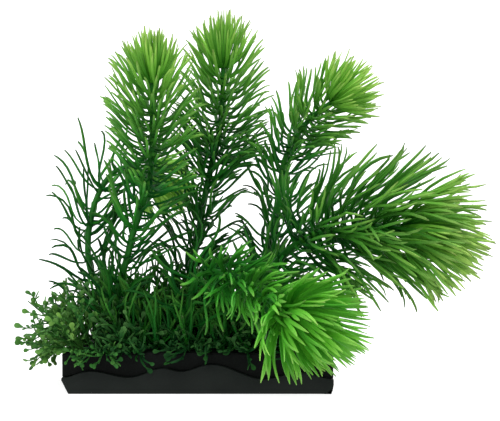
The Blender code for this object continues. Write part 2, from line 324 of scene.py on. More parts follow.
# Width along a prong, from the fork (0) to its end (1), and along a thread
bluntTips = ((0.22, 1.0), (0.52, 1.0), (0.82, 0.8), (1.0, 0.28))
softTips = ((0.22, 1.0), (0.52, 1.0), (0.85, 0.78), (1.0, 0.24))
sharpTips = ((0.22, 1.0), (0.5, 0.92), (0.8, 0.58), (1.0, 0.15))
threadProfile = ((0.0, 0.8), (0.12, 0.8), (0.25, 0.88), (0.38, 0.96), (0.5, 1.0), (0.62, 1.0),
                 (0.74, 0.94), (0.85, 0.82), (0.94, 0.6), (1.0, 0.25))
# How far single leaves may differ
leafPlay = {
    "fork": 0.07, "size": (0.88, 1.1), "roll": 20, "twist": 32, "splay": (0.6, 1.4), "aim": 4,
    "reach": (0.8, 1.05), "curl": 0.2, "threadWidth": (0.85, 1.15), "threadRoll": 35,
}
leafCrown = 0.22         # how far the middle of a leaf's section is raised, in thicknesses


# One strap leaf, widening from the stem and then forked into prongs
def addLeaf(whole, line, length, shape, age, rng):
    part = newPart()
    prongs = rng.choice(shape["prongs"])
    fork = shape["fork"] + either(rng, leafPlay["fork"])
    size = rng.uniform(*leafPlay["size"]) * mm
    root, thick, prong = shape["root"] * size, shape["thick"] * mm, shape["prong"] * size
    full = prong * prongs * shape["join"]
    shade = rng.uniform(shape.get("bright", 0), 1)
    roll = math.radians(either(rng, leafPlay["roll"]))
    twist = math.radians(either(rng, leafPlay["twist"]))
    half = root + (full - root) * 0.5
    widths = ((0.0, root), (0.14, root), (0.32, half), (fork * 0.8, full), (fork, full * 1.02))
    stops = [(station(line, share, width, thick, roll + twist * share), share) for share, width in widths]
    faces = sectionFaces(part, prongs, stops[0][0], leafCrown)
    setTone(part, part.verts, (0, age, shade, 1))
    faces = drawOut(part, faces, stops, age, shade)
    lay = stops[-1][0]
    inverse = lay.inverted()
    faces.sort(key=lambda face: (inverse @ face.calc_center_median()).x)
    free = 1 - fork
    for index, face in enumerate(faces):
        middle = (index + 0.5) / prongs - 0.5
        splay = 2 * middle * math.radians(shape["spread"]) * rng.uniform(*leafPlay["splay"])
        spread = splay + math.radians(either(rng, leafPlay["aim"]))
        reach = rng.uniform(*leafPlay["reach"])
        curl = either(rng, leafPlay["curl"])
        ends = [(lay, fork)]
        for step, slim in shape["tips"]:
            share = fork + free * reach * step
            run = free * reach * step * length
            aside = middle * full + run * math.tan(spread) * (1 - 0.3 * step)
            width = prong * slim * prongs
            deep = thick * (0.3 + 0.7 * slim)
            rise = run * curl * step
            bend = spread * (1 - 0.6 * step)
            end = station(line, share, width, deep, roll + twist * share, aside, rise, bend, middle)
            ends.append((end, min(share, 1)))
        drawOut(part, [face], ends, age, shade)
    joinPart(whole, part)


# A long thin leaf with an S-curve
def addThread(whole, line, shape, age, rng):
    part = newPart()
    width = shape["full"] * mm * rng.uniform(*leafPlay["threadWidth"])
    thick = shape["thick"] * mm
    shade = rng.uniform(shape.get("bright", 0), 1)
    roll = math.radians(either(rng, leafPlay["threadRoll"]))
    stops = [(station(line, share, width * slim, thick * (0.5 + 0.5 * slim), roll), share)
             for share, slim in threadProfile]
    faces = sectionFaces(part, 1, stops[0][0])
    setTone(part, part.verts, (0, age, shade, 1))
    drawOut(part, faces, stops, age, shade)
    joinPart(whole, part)


def intoScene(made):
    bpy.context.scene.collection.objects.link(made)
    return made


def makeObject(name, bm, material):
    bmesh.ops.recalc_face_normals(bm, faces=bm.faces)
    mesh = bpy.data.meshes.new(name)
    bm.to_mesh(mesh)
    bm.free()
    for polygon in mesh.polygons:
        polygon.use_smooth = True
    mesh.materials.append(material)
    return intoScene(bpy.data.objects.new(name, mesh))


def finishPiece(name, bm, material, replaced=(), sharp=48):
    piece = makeObject(name, bm, material)
    piece.data.set_sharp_from_angle(angle=math.radians(sharp))
    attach(piece, "root")
    if replaced:
        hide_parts(*replaced)


# Stems

# In mm and degrees. Leaf lengths: leaf in the dense whorls, tip in the tuft, lowerLeaf below them.
# sparse and skirt are measured down from the last dense whorl. open: leaf angles at the first and last
# dense whorl. fan: how wide the tuft opens. play, sway, waves: how uneven the leaves are. bright: the
# least shade a leaf may have.
# shrink, shortened, thinned, slim, aging, ripe: how leaves change down the stem.
# folded, tipFolded, over, under: how leaves that point to the front, up or down differ.
plumes = {
    "left": {
        "route": ((-45.2, -8, 24), (-43.4, -9, 34), (-41.6, -10, 50), (-36.8, -11, 66), (-34.1, -12, 77),
                  (-29.3, -13, 91), (-26.2, -14, 100), (-24.6, -14, 108), (-23.4, -15, 124),
                  (-23.2, -16, 141), (-23.1, -16.5, 158.3)),
        "radius": 1.5, "leaf": 30, "leaves": 18, "spacing": 7.3, "dense": 7, "open": (50, 75),
        "sparse": (24,), "tip": 26.5, "fan": 1.0, "play": (6, 5, 8), "sway": 0.35, "turn": 27,
        "lowerLeaf": 30, "lowerStep": 8.5, "lowerCount": 9,
        "shrink": 0.015, "thinned": 0.4, "aging": 0.75, "ripe": 0.4, "folded": -0.4, "bright": 0.15,
    },
    "tall": {
        "route": ((-8.9, 8, 24), (-6.8, 10, 50), (-4.2, 12, 64), (-1.1, 14, 79), (1.6, 15, 94),
                  (5.3, 17, 112), (9.0, 18, 127), (11.2, 18, 145), (12.0, 18, 168.2)),
        "radius": 1.6, "leaf": 30, "leaves": 18, "spacing": 7.8, "dense": 6, "open": (50, 78),
        "sparse": (12.5, 34), "tip": 28.5, "fan": 1.15, "play": (6, 5, 8), "sway": 0.35, "turn": 18,
        "lowerLeaf": 30, "lowerStep": 8, "lowerCount": 11,
        "aging": 0.9, "ripe": 0.36, "folded": -0.4,
    },
    "right": {
        "route": ((29.3, 6, 24), (32.4, 8, 47), (37.7, 9, 68), (40.4, 9, 85), (41.6, 9, 97.5),
                  (42.9, 8.5, 108.6), (44.7, 7.5, 117), (47.6, 6, 122.5), (50.6, 4, 128.5), (54.4, 2, 134),
                  (59.7, 0, 139.5), (70.5, -5, 147.6)),
        "radius": 1.5, "leaf": 27, "leaves": 15, "spacing": 7, "dense": 5, "open": (56, 70),
        "sparse": (12.5, 36), "tip": 27, "fan": 1.3, "full": 1.15, "play": (6, 6, 10), "sway": 0.4,
        "turn": 21, "lowerLeaf": 30, "lowerStep": 9, "lowerCount": 8,
        "thinned": 0.2, "folded": -0.25, "bright": 0.55,
    },
    "reach": {
        "route": ((25.1, -14, 24), (29.0, -18, 43), (37.0, -26, 62), (51.0, -38, 77), (63.4, -48, 82),
                  (78.3, -58, 85), (90.0, -65, 85.5), (99.0, -69, 84)),
        "radius": 1.7, "leaf": 49, "leaves": 19, "spacing": 7.7, "dense": 7, "open": (48, 84),
        "tip": 40, "fan": 1.45, "full": 1.2, "play": (11, 10, 17), "sway": 0.75, "waves": 1.4, "turn": 42,
        "lowerLeaf": 36, "lowerStep": 7, "lowerCount": 7,
        "shortened": 0.2, "thinned": 0.2, "slim": 0.15, "aging": 0.7, "ripe": 0.5,
        "folded": 0.5, "tipFolded": 0.55, "droop": 0.3, "look": "reach",
    },
    "front": {
        "route": ((-6.5, -15, 24), (-5.0, -17, 40), (-2.5, -21, 53), (3.0, -28, 60), (10.0, -38, 61.5),
                  (19.5, -52, 59), (30.5, -66, 54.0), (45.0, -83, 47.0)),
        "radius": 1.6, "leaf": 32, "leaves": 11, "spacing": 7.8, "dense": 6, "open": (58, 80),
        "tip": 44, "fan": 1.62, "full": 1.7, "play": (10, 12, 18), "sway": 0.7, "waves": 1.8, "turn": 6,
        "lowerLeaf": 32, "lowerStep": 9, "lowerCount": 7, "skirt": (4, 13),
        "shrink": 0.03, "aging": 0.5, "ripe": 0.3, "folded": 0.4, "over": 0.24, "under": 0.36, "bright": 0.3,
        "look": "front",
    },
    "arch": {
        "route": ((-54.0, 12, 24), (-52.9, 14, 46), (-58.5, 16, 55), (-60.8, 18, 65), (-60.8, 22, 78),
                  (-59.1, 26, 89), (-55.2, 30, 100), (-48.5, 34, 109), (-39.0, 38, 112), (-28.5, 41, 106)),
        "radius": 1.5, "leaf": 26, "leaves": 10, "spacing": 7.6, "dense": 1, "open": (50, 50),
        "sparse": (24, 46), "tip": 30, "fan": 1.4, "full": 1.25, "play": (6, 6, 10), "sway": 0.4, "turn": 15,
        "lowerLeaf": 34, "lowerStep": 10, "lowerCount": 6, "bright": 0.75, "look": "arch",
    },
}
# What a stem has where its own entry says nothing
plainPlume = {
    "full": 1, "bright": 0, "waves": 1.0, "droop": 0, "shrink": 0, "shortened": 0, "thinned": 0, "slim": 0,
    "aging": 1, "ripe": 0.48, "folded": 0, "tipFolded": 0, "over": 0, "under": 0, "sparse": (), "skirt": (),
    "look": "upright",
}
firstSeed = 11
# The stem thickens from level down to its foot and thins from there to its tip
stemLook = {
    "step": 1.5, "sides": 12, "ringSwell": 0.15, "ringReach": 1.3, "blockTop": 20.5, "socketFoot": 11.8,
    "smooth": 16, "cornerStep": 9, "level": 0.75, "footTaper": 0.3, "tipTaper": 0.25,
    "end": 1.2, "endWidth": 0.6,
}


def fineRoute(plume):
    route = [Vector(point) * mm for point in plume["route"]]
    heights = (stemLook["socketFoot"] * mm, stemLook["blockTop"] * mm)
    foot, neck = (Vector((route[0].x, route[0].y, height)) for height in heights)
    knots = [foot, neck, *route]
    knots = [2 * knots[0] - knots[1], *knots, 2 * knots[-1] - knots[-2]]
    fine = []
    for a, b, c, d in zip(knots, knots[1:], knots[2:], knots[3:]):
        for step in range(stemLook["smooth"]):
            t = step / stemLook["smooth"]
            square = (2 * a - 5 * b + 4 * c - d) * t ** 2
            cube = (3 * b - a - 3 * c + d) * t ** 3
            fine.append(b + ((c - a) * t + square + cube) / 2)
    fine.append(knots[-2])
    return fine


def along(points, distance):
    for p, q in zip(points, points[1:]):
        length = (q - p).length
        if distance <= length or q is points[-1]:
            return p + (q - p) * (distance / length), (q - p).normalized()
        distance -= length


def lengthOf(points):
    return sum((q - p).length for p, q in zip(points, points[1:]))


# The CAD stem's own corners, which its whorls are threaded on
def cadRoute(plume):
    fine = fineRoute(plume)
    total = lengthOf(fine)
    pieces = round(total / (stemLook["cornerStep"] * mm))
    return [along(fine, total * index / pieces)[0] for index in range(pieces + 1)]


def whorlPlace(points, distance, turn):
    spot, direction = along(points, distance)
    side = direction.cross(Vector((0, 1, 0))).normalized()
    facing = Matrix((side, direction.cross(side), direction)).transposed().to_4x4()
    return Matrix.Translation(spot) @ facing @ Matrix.Rotation(math.radians(turn), 4, "Z")


def stemPlastic():
    made, tree, shader = newMaterial("stem plastic", 0.4, 0.1)
    streaks = noise(tree, 90, 4, 0.6, (1, 1, 0.25))
    greens = [(0.3, (0.004, 0.06, 0.006)), (0.55, (0.012, 0.115, 0.01)), (0.75, (0.03, 0.18, 0.015))]
    colour = ramp(tree, streaks, greens)
    tree.links.new(colour, shader.inputs["Base Color"])
    tree.links.new(span(tree, noise(tree, 300, 2), 0.3, 0.5), shader.inputs["Roughness"])
    bump(tree, shader, noise(tree, 700, 3, 0.6, (1, 1, 0.4)), 0.3, 0.0003)
    return made


stemMaterial = stemPlastic()


def buildStem(name, plume, rings):
    fine = fineRoute(plume)
    total = lengthOf(fine)
    count = round(total / (stemLook["step"] * mm))
    level = stemLook["level"]
    part = newPart()
    stops = []
    for index in range(count + 1):
        share = index / count
        distance = total * index / count
        place = whorlPlace(fine, distance, 0)
        nearest = min(abs(distance - ring) for ring in rings) / (stemLook["ringReach"] * mm)
        swell = stemLook["ringSwell"] * max(0.0, 1 - nearest)
        thicker = stemLook["footTaper"] * max(0.0, level - share) / level
        thinner = stemLook["tipTaper"] * max(0.0, share - level) / (1 - level)
        width = 2 * (plume["radius"] * (1 + thicker - thinner) + swell) * mm
        if total - distance < stemLook["end"] * mm:
            width *= stemLook["endWidth"]
        stops.append((place @ Matrix.Diagonal((width, width, 1, 1)), share))
    drawOut(part, roundFaces(part, stemLook["sides"], stops[0][0]), stops, 0, 0.5)
    finishPiece(name + "_stem", part, stemMaterial, (name + "_stem",))


# Whorls: leaf shapes in mm, angles in degrees from the stem

strapShape = {
    "root": 0.95, "thick": 0.85, "prong": 1.04, "join": 0.78, "fork": 0.42, "spread": 24,
    "prongs": (2, 2, 2, 3), "full": 1.35, "forked": 0.68, "tips": softTips,
}
reachShape = dict(strapShape, root=1.1, prong=1.26, spread=20, full=1.8, prongs=(2, 2, 3), forked=0.85)
frontShape = dict(strapShape, root=1.2, prong=1.35, join=0.82, fork=0.45, prongs=(2,), tips=sharpTips)
tuftShape = dict(strapShape, root=1.2, prong=1.15, join=0.8, fork=0.45, spread=9, prongs=(2,), forked=1,
                 tips=sharpTips)
reachTuftShape = dict(reachShape, root=1.3, fork=0.48, spread=13, prongs=(2, 3), forked=1)
frontTuftShape = dict(frontShape, root=1.5, prong=1.65, join=0.85, fork=0.55, spread=9, forked=1)
leafShapes = {"reach": (reachShape, reachTuftShape), "front": (frontShape, frontTuftShape)}
threadShape = {
    "root": 0.95, "thick": 1.0, "prong": 0.9, "join": 0.68, "fork": 0.58, "spread": 20,
    "prongs": (2,), "full": 1.2, "forked": 0.12, "tips": bluntTips,
}
hubLook = {
    "wall": 0.7, "tall": 1.8, "sides": 12, "fromTip": 3.6, "turn": 22.5,
    "ring": ((0.0, 0.75), (0.2, 1.0), (0.8, 1.0), (1.0, 0.72)), "tone": (0.3, 0.7, 0.5, 1),
}
# Tiers of leaves. out and up: where they start. slopes: at root, middle and tip.
crownTiers = (
    {"count": 17, "slopes": (52, 31, 27), "out": 1.0, "up": 0.4, "vary": (0.84, 0.98)},
    {"count": 13, "slopes": (33, 19, 16), "out": 0.8, "up": 1.3, "vary": (0.9, 1.02), "phase": 0.5},
    {"count": 8, "slopes": (16, 9, 7), "out": 0.6, "up": 2.0, "vary": (0.92, 1.04)},
    {"count": 3, "slopes": (6, 3, 2), "out": 0.3, "up": 2.4, "vary": (0.94, 1.04), "phase": 0.2},
)
crownPlay = {"play": (4, 3, 6), "loose": 3, "sway": 0.25}
denseSlopes = (1.4, 0.62, 0.95)      # of the whorl's opening
lowerTier = {
    "slopes": (80, 40, 92), "play": (18, 17, 44), "up": 0.9, "stagger": 1.2, "loose": 10, "sway": 1.1,
    "vary": (0.65, 1.25),
}
skirtTier = {
    "count": 4, "slopes": (90, 66, 84), "play": (14, 12, 30), "up": 0.7, "stagger": 1.5, "loose": 8,
    "sway": 0.8, "vary": (0.8, 1.15), "over": 0.35,
}
# What a tier has where its own entry says nothing
plainTier = {
    "phase": 0, "loose": 5, "vary": (0.92, 1.06), "stagger": 0, "zigzag": 0, "waves": 1.0, "droop": 0,
    "folded": 0, "over": 0, "under": 0,
}
leafGap = 0.5            # mm from the stem to the root of a tuft's leaf or of one in a sparse whorl
leafInset = 0.8          # where the other leaves start, as a share of the stem's radius
lowestLeaf = 16          # mm along the stem


def addHub(whole, place, radius):
    part = newPart()
    tall = hubLook["tall"] * mm
    stops = []
    for share, swell in hubLook["ring"]:
        width = 2 * (radius + hubLook["wall"] * swell * mm)
        lift = Matrix.Translation((0, 0, tall * share))
        stops.append((place @ lift @ Matrix.Diagonal((width, width, 1, 1)), 0))
    drawOut(part, roundFaces(part, hubLook["sides"], stops[0][0]), stops, 1, 0.5)
    setTone(part, part.verts, hubLook["tone"])
    joinPart(whole, part)


def addTier(whole, place, tier, shape, age, rng):
    tier = dict(plainTier, **tier)
    count = tier["count"]
    for index in range(count):
        azimuth = 2 * math.pi * (index + tier["phase"] + either(rng, 0.25)) / count
        lean = either(rng, 1) * tier["loose"]
        aside = place.to_3x3() @ Vector((math.cos(azimuth), math.sin(azimuth), 0))
        folded = 1 - tier["folded"] * max(0.0, -aside.y)
        slopes = [angle * folded + lean + either(rng, 1) * play
                  for angle, play in zip(tier["slopes"], tier["play"])]
        length = tier["length"] * mm * rng.uniform(*tier["vary"])
        up = tier["up"] + either(rng, 1) * tier["stagger"] + (index % 2 - 0.5) * tier["zigzag"]
        sway = either(rng, 1) * tier["sway"]
        length *= 1 - tier["under"] * max(0.0, -aside.z) - tier["over"] * max(0.0, aside.z)
        start = (tier["out"] * mm, up * mm)
        line = leafLine(place, start, azimuth, length, slopes, sway, tier["droop"], tier["waves"])
        if rng.random() < shape["forked"]:
            addLeaf(whole, line, length, shape, age, rng)
        else:
            addThread(whole, line, shape, age, rng)


def addWhorl(piece, look, place, radius, tier, shape, age, rng):
    whole = newPart()
    addHub(whole, place, radius * mm)
    addTier(whole, place, tier, shape, age, rng)
    finishPiece(piece, whole, leafMaterials[look], (piece,))


# The tuft's leaves are younger from the outer tier to the inner one
def buildTuft(name, plume, place, shape, rng):
    whole = newPart()
    addHub(whole, place, plume["radius"] * mm)
    for index, crown in enumerate(crownTiers):
        tier = dict(
            crown, **crownPlay, count=round(crown["count"] * plume["full"]),
            slopes=[angle * plume["fan"] for angle in crown["slopes"]], length=plume["tip"],
            out=crown["out"] * (plume["radius"] + leafGap), droop=plume["droop"],
            under=plume["under"] * 0.6, over=plume["over"], folded=plume["tipFolded"],
        )
        addTier(whole, place, tier, shape, 0.15 - 0.05 * index, rng)
    finishPiece(name + "_tuft", whole, leafMaterials[plume["look"]], (name + "_tuft",))


# What is left of a value that falls off over the lower three fifths of the dense whorls
def fallOff(most, share):
    return 1 - most * max(0.0, share - 0.4) / 0.6


def denseTier(plume, index, share):
    first, last = plume["open"]
    opening = first + (last - first) * share ** 0.6
    return {
        "count": round(plume["leaves"] * fallOff(plume["thinned"], share)),
        "slopes": [opening * slope for slope in denseSlopes], "play": plume["play"],
        "length": plume["leaf"] * (1 - plume["shrink"] * index) * fallOff(plume["shortened"], share),
        "out": plume["radius"] * leafInset, "up": 0.9, "stagger": 0.5, "zigzag": 0.45 * plume["spacing"],
        "sway": plume["sway"], "waves": plume["waves"], "droop": 0.5 * plume["droop"],
        "folded": plume["folded"], "over": plume["over"], "under": plume["under"],
    }


# From the tuft down; returns how far along the stem each hub sits
def buildWhorls(name, plume, seed):
    points = cadRoute(plume)
    radius, look, count = plume["radius"], plume["look"], plume["dense"]
    rng = random.Random(seed)
    shapes = leafShapes.get(name, (strapShape, tuftShape))
    shape, tipShape = (dict(found, bright=plume["bright"]) for found in shapes)
    distance = lengthOf(points) - hubLook["fromTip"] * mm
    rings = [distance]
    buildTuft(name, plume, whorlPlace(points, distance, plume["turn"]), tipShape, rng)
    for index in range(count):
        distance -= plume["spacing"] * mm
        rings.append(distance)
        share = index / max(count - 1, 1)
        slim = 1 - plume["slim"] * share
        slimmed = dict(shape, prong=shape["prong"] * slim, full=shape["full"] * slim)
        age = plume["ripe"] + (1 - plume["ripe"]) * share ** plume["aging"]
        place = whorlPlace(points, distance, plume["turn"] + hubLook["turn"] * (index + 1))
        tier = denseTier(plume, index, share)
        addWhorl(f"{name}_whorl_{index + 1}", look, place, radius, tier, slimmed, age, rng)

    thin = dict(lowerTier, out=radius + leafGap, length=plume["lowerLeaf"], count=plume["lowerCount"])
    for index, below in enumerate(plume["sparse"]):
        at = distance - below * mm
        rings.append(at)
        number = count + index + 1
        place = whorlPlace(points, at, plume["turn"] + hubLook["turn"] * number)
        addWhorl(f"{name}_whorl_{number}", "lower", place, radius, thin, threadShape, 0.3 * index, rng)

    whole = newPart()
    loose = dict(thin, out=radius * leafInset, stagger=4.5, waves=1.3)
    below = plume["lowerStep"]
    while distance - below * mm > lowestLeaf * mm:
        if all(abs(below - ring) > 3 for ring in plume["sparse"]):
            place = whorlPlace(points, distance - below * mm, rng.uniform(0, 360))
            addTier(whole, place, loose, threadShape, min(1, 0.1 + below / 60), rng)
        below += plume["lowerStep"]
    finishPiece(name + "_lower_leaves", whole, leafMaterials["lower"])

    if plume["skirt"]:
        whole = newPart()
        tier = dict(skirtTier, length=plume["leaf"] * 0.85, out=radius * leafInset)
        for below in plume["skirt"]:
            place = whorlPlace(points, distance - below * mm, rng.uniform(0, 360))
            addTier(whole, place, tier, dict(shape, forked=0.4), 0.75, rng)
        finishPiece(name + "_skirt_leaves", whole, leafMaterials[look])
    return rings


for index, (name, values) in enumerate(plumes.items()):
    plume = dict(plainPlume, **values)
    rings = buildWhorls(name, plume, firstSeed + index)
    buildStem(name, plume, rings)
    print("plume", name)


# Low sprigs and growth, in mm and degrees

# leafy and ends: how often a leaflet grows along a shoot and at its end. deep: over what height the
# painted shade on low shoots fades upwards. blade: the shoots are flat strands, not round twigs.
spoonShape = {
    "twigs": 8, "shoots": 6, "shootLength": (5, 11), "twigRadius": 0.6, "limbRadius": 0.45,
    "leaflet": (2.0, 3.3), "ratio": 1.4, "depth": 34, "curl": 0.8, "leafy": 0.6, "ends": 1,
    "long": (0.55, 0.86),
}
mossShape = {
    "twigs": 9, "shoots": 5, "shootLength": (9, 17), "twigRadius": 0.55, "limbRadius": 0.5, "blade": True,
    "leaflet": (1.8, 2.6), "ratio": 1.6, "depth": 38, "curl": 1.6, "leafy": 0.12, "ends": 0.12,
    "long": (0.6, 0.95), "deep": 30,
}
# Thin twigs that arch over and end in small round leaflets
arcShape = dict(mossShape, shoots=4, shootLength=(7, 13), twigRadius=0.45, limbRadius=0.42, curl=2.6,
                leafy=0.05, ends=0.5)
strandShape = dict(threadShape, full=0.85, prong=0.66)

growthLook = {"foot": 20.4, "rimFoot": 21, "shadedBelow": 20, "shootSteps": 6, "twigSides": 5}
leafletSpots = ((1.0, 0, 1), (0.7, 0.9, 0.8), (0.4, -0.9, 0.7))      # along the shoot, aside, size
leafletProfile = ((0.0, 0.22), (0.25, 0.5), (0.5, 0.92), (0.75, 1.0), (0.92, 0.72), (1.0, 0.3))

# Low sprigs: foot (x, y), turn, lean to the front, tilt to the side, height, half of the fan's angle
sprigs = {
    "sprig_left_front": ((-58, -21), 6, 8, -50, 45, 36, "sprigLight", spoonShape),
    "sprig_left_middle": ((-60, -2), -8, 4, -40, 46, 36, "sprigLight", spoonShape),
    "sprig_left_back": ((-62, 22), 10, -10, -20, 42, 34, "sprigLight", spoonShape),
    "sprig_middle_front": ((-33, -23), -4, 42, -10, 30, 60, "sprigDarkShaded", arcShape),
    "sprig_middle": ((-27, 2), 12, 2, 8, 34, 42, "sprigDarkShaded", mossShape),
    "sprig_back": ((-20, 24), -6, -14, 6, 36, 44, "sprigDarkShaded", mossShape),
    "sprig_right_front": ((34, -22), 8, 30, 16, 32, 42, "sprigDarkShaded", mossShape),
}
firstSprigSeed = 40

# The low growth between the sprigs
lowGrowth = {
    "left": {
        "x": (-64, -46), "y": (-27, 26), "count": 17, "tall": (15, 39), "lean": (-0.45, -0.1),
        "look": "sprigLight", "shape": spoonShape, "seed": 61,
    },
    "front": {
        "x": (-54, 22), "y": (-27, -12), "count": 36, "tall": (8, 17), "lean": (0, -0.6),
        "age": (0.2, 1.0), "fall": (-2.6, -0.8), "shape": arcShape, "seed": 62,
    },
    "middle": {"x": (-58, 30), "y": (-12, 10), "count": 40, "tall": (14, 36), "lean": (0, 0), "seed": 63},
    "back": {"x": (-50, 40), "y": (10, 27), "count": 46, "tall": (14, 34), "lean": (0, 0.2), "seed": 64},
    "right": {"x": (20, 62), "y": (-27, 10), "count": 30, "tall": (8, 20), "lean": (0.2, -0.2), "seed": 65},
}
# By default the low growth takes the darker moss, whose darkness is partly painted shade under the plumes
plainGrowth = {"age": (0.3, 1.0), "fall": (-0.9, 0.1), "look": "sprigDarkShaded", "shape": mossShape}

# Twigs that hang over the front rim and reach out past the left end
hanging = {
    "front": {
        "x": (-46, 50), "y": (-29.5, -27), "way": (0, -1, 0.3), "curve": (0, 0.2, -2.6), "spread": 0.6,
        "count": 15, "length": (5, 9), "age": (0.7, 1), "look": "sprigDarkShaded",
        "shape": dict(arcShape, shoots=3, shootLength=(5, 8)), "seed": 66,
    },
    "corner": {
        "x": (-62, -42), "y": (-28.5, -26), "way": (-0.3, -1, 0.25), "curve": (0, 0.2, -2.2), "spread": 0.5,
        "count": 9, "length": (6, 12), "age": (0.6, 1.0), "look": "sprigLight",
        "shape": dict(spoonShape, shoots=4, shootLength=(4, 8), leaflet=(1.5, 2.3), leafy=0.4), "seed": 69,
    },
    "left": {
        "x": (-64, -57), "y": (-27, 16), "way": (-1, -0.1, 0.1), "curve": (0, 0, -0.9), "spread": 0.3,
        "count": 10, "length": (17, 27), "age": (0, 0.6), "look": "sprigLight",
        "shape": spoonShape, "seed": 67,
    },
}

# Thin strands that rise from the block between the stems' feet
strands = {
    "x": (-52, 48), "y": (-22, 24), "count": 420, "length": (18, 50),
    "slopes": ((0, 60), (0, 40), (10, 130)), "sway": 0.8, "waves": 1.3, "forked": 0.4,
    "age": (0, 0.6), "seed": 68,
}


# A random vector: as far as flat to each side, and from low to high upwards
def stray(rng, flat, low, high):
    return Vector((either(rng, flat), either(rng, flat), rng.uniform(low, high)))


def footIn(rng, grown, height):
    return Vector((rng.uniform(*grown["x"]), rng.uniform(*grown["y"]), height)) * mm


def shootLine(spot, way, length, curve, rng):
    steps = growthLook["shootSteps"]
    across = way.cross(stray(rng, 1, -1, 1)).normalized()
    line = []
    heading = way.copy()
    place = spot.copy()
    for step in range(steps + 1):
        heading = clearWay(place, heading, length / steps)
        line.append((place.copy(), heading.copy(), across.copy()))
        place = place + heading * length / steps
        heading = (heading + curve / steps).normalized()
    return line


def addTwig(part, line, radius, age, shade, fromTone, toTone):
    stops = []
    for share in (0, 0.33, 0.66, 1.0):
        width = 2 * radius * (1 - 0.45 * share)
        stops.append((station(line, share, width, width), fromTone + (toTone - fromTone) * share))
    drawOut(part, roundFaces(part, growthLook["twigSides"], stops[0][0]), stops, age, shade)


def addLeaflet(part, line, size, age, shade):
    stops = [(station(line, share, size * slim, 0.5 * mm * (1.2 - 0.5 * share)), 0.6 + 0.4 * share)
             for share, slim in leafletProfile]
    drawOut(part, sectionFaces(part, 2, stops[0][0], -0.25), stops, age, shade)


# A twig with shoots all round it, which carry leaflets at their ends and along them
def growTwig(whole, foot, way, length, curve, shape, age, rng):
    part = newPart()
    shade = rng.random()
    line = shootLine(foot, way, length, curve, rng)
    addTwig(part, line, shape["twigRadius"] * mm, age, shade, 0, 0.5)
    for shoot in range(shape["shoots"]):
        share = min(0.2 + 0.8 * (shoot + rng.uniform(0, 0.6)) / shape["shoots"], 1)
        spot, heading, _ = onLine(line, share)
        spin = Matrix.Rotation(rng.uniform(0, 2 * math.pi), 3, heading)
        aside = spin @ heading.orthogonal().normalized()
        out = (heading + aside * rng.uniform(0.6, 1.3)).normalized()
        size = rng.uniform(*shape["shootLength"]) * mm * (1.15 - 0.5 * share)
        bend = stray(rng, 1, -0.5, 1) * shape["curl"]
        limb = shootLine(spot, out, size, bend, rng)
        ageAndShade = age
        # Painted shade: shoots that end low, near the block under the foliage, take the darker colours
        if "deep" in shape:      # low shoots are darker
            rise = limb[-1][0].z / mm - growthLook["shadedBelow"]
            ageAndShade = min(max(age, 1 - rise / shape["deep"]), 1)
        if "blade" in shape:
            addThread(whole, limb, {"full": 2.3 * shape["limbRadius"], "thick": 0.7}, ageAndShade, rng)
        else:
            addTwig(part, limb, shape["limbRadius"] * mm, ageAndShade, shade, 0.3, 0.6)
        for at, lean, big in leafletSpots:
            if rng.random() > (shape["leafy"] if at < 1 else shape["ends"]):
                continue
            place, toward, _ = onLine(limb, at)
            toward = (toward + toward.orthogonal().normalized() * lean).normalized()
            wide = rng.uniform(*shape["leaflet"]) * mm * big
            lift = Vector((0, 0, either(rng, 0.4)))
            blade = shootLine(place, toward, wide * shape["ratio"], lift, rng)
            addLeaflet(part, blade, wide, ageAndShade, rng.random())
    joinPart(whole, part)


def buildSprig(name, foot, turn, lean, tilt, height, half, look, shape, seed):
    rng = random.Random(seed)
    whole = newPart()
    base = (Matrix.Translation((foot[0] * mm, foot[1] * mm, growthLook["foot"] * mm))
            @ Matrix.Rotation(math.radians(turn), 4, "Z") @ Matrix.Rotation(math.radians(lean), 4, "X"))
    turned = base.to_3x3()
    for index in range(shape["twigs"]):
        side = -1 + 2 * (index + 0.5) / shape["twigs"]
        angle = math.radians(tilt + half * side)
        depth = math.radians(either(rng, 1) * shape["depth"])
        flat = math.cos(depth)
        way = turned @ Vector((math.sin(angle) * flat, math.sin(depth), math.cos(angle) * flat))
        length = height * mm * (1 - 0.25 * abs(side)) * rng.uniform(*shape["long"])
        curve = stray(rng, 0.3, -0.5, 0.1)
        growTwig(whole, base.translation, way, length, curve, shape, rng.random(), rng)
    finishPiece(name, whole, leafMaterials[look], (name,))


def buildLowGrowth(name, grown):
    rng = random.Random(grown["seed"])
    whole = newPart()
    leanX, leanY = grown["lean"]
    for _ in range(grown["count"]):
        foot = footIn(rng, grown, growthLook["foot"])
        way = Vector((leanX + either(rng, 0.6), leanY + either(rng, 0.5), 1)).normalized()
        fall = rng.uniform(*grown["fall"])
        curve = Vector((either(rng, 0.8), either(rng, 0.8), fall))
        length = rng.uniform(*grown["tall"]) * mm
        growTwig(whole, foot, way, length, curve, grown["shape"], rng.uniform(*grown["age"]), rng)
    finishPiece("low_growth_" + name, whole, leafMaterials[grown["look"]])


def buildHanging(name, grown):
    rng = random.Random(grown["seed"])
    whole = newPart()
    for _ in range(grown["count"]):
        foot = footIn(rng, grown, growthLook["rimFoot"])
        play = stray(rng, grown["spread"], -0.2, 0.2)
        way = (Vector(grown["way"]) + play).normalized()
        curve = Vector(grown["curve"]) + play
        length = rng.uniform(*grown["length"]) * mm
        growTwig(whole, foot, way, length, curve, grown["shape"], rng.uniform(*grown["age"]), rng)
    finishPiece("low_growth_hanging_" + name, whole, leafMaterials[grown["look"]])


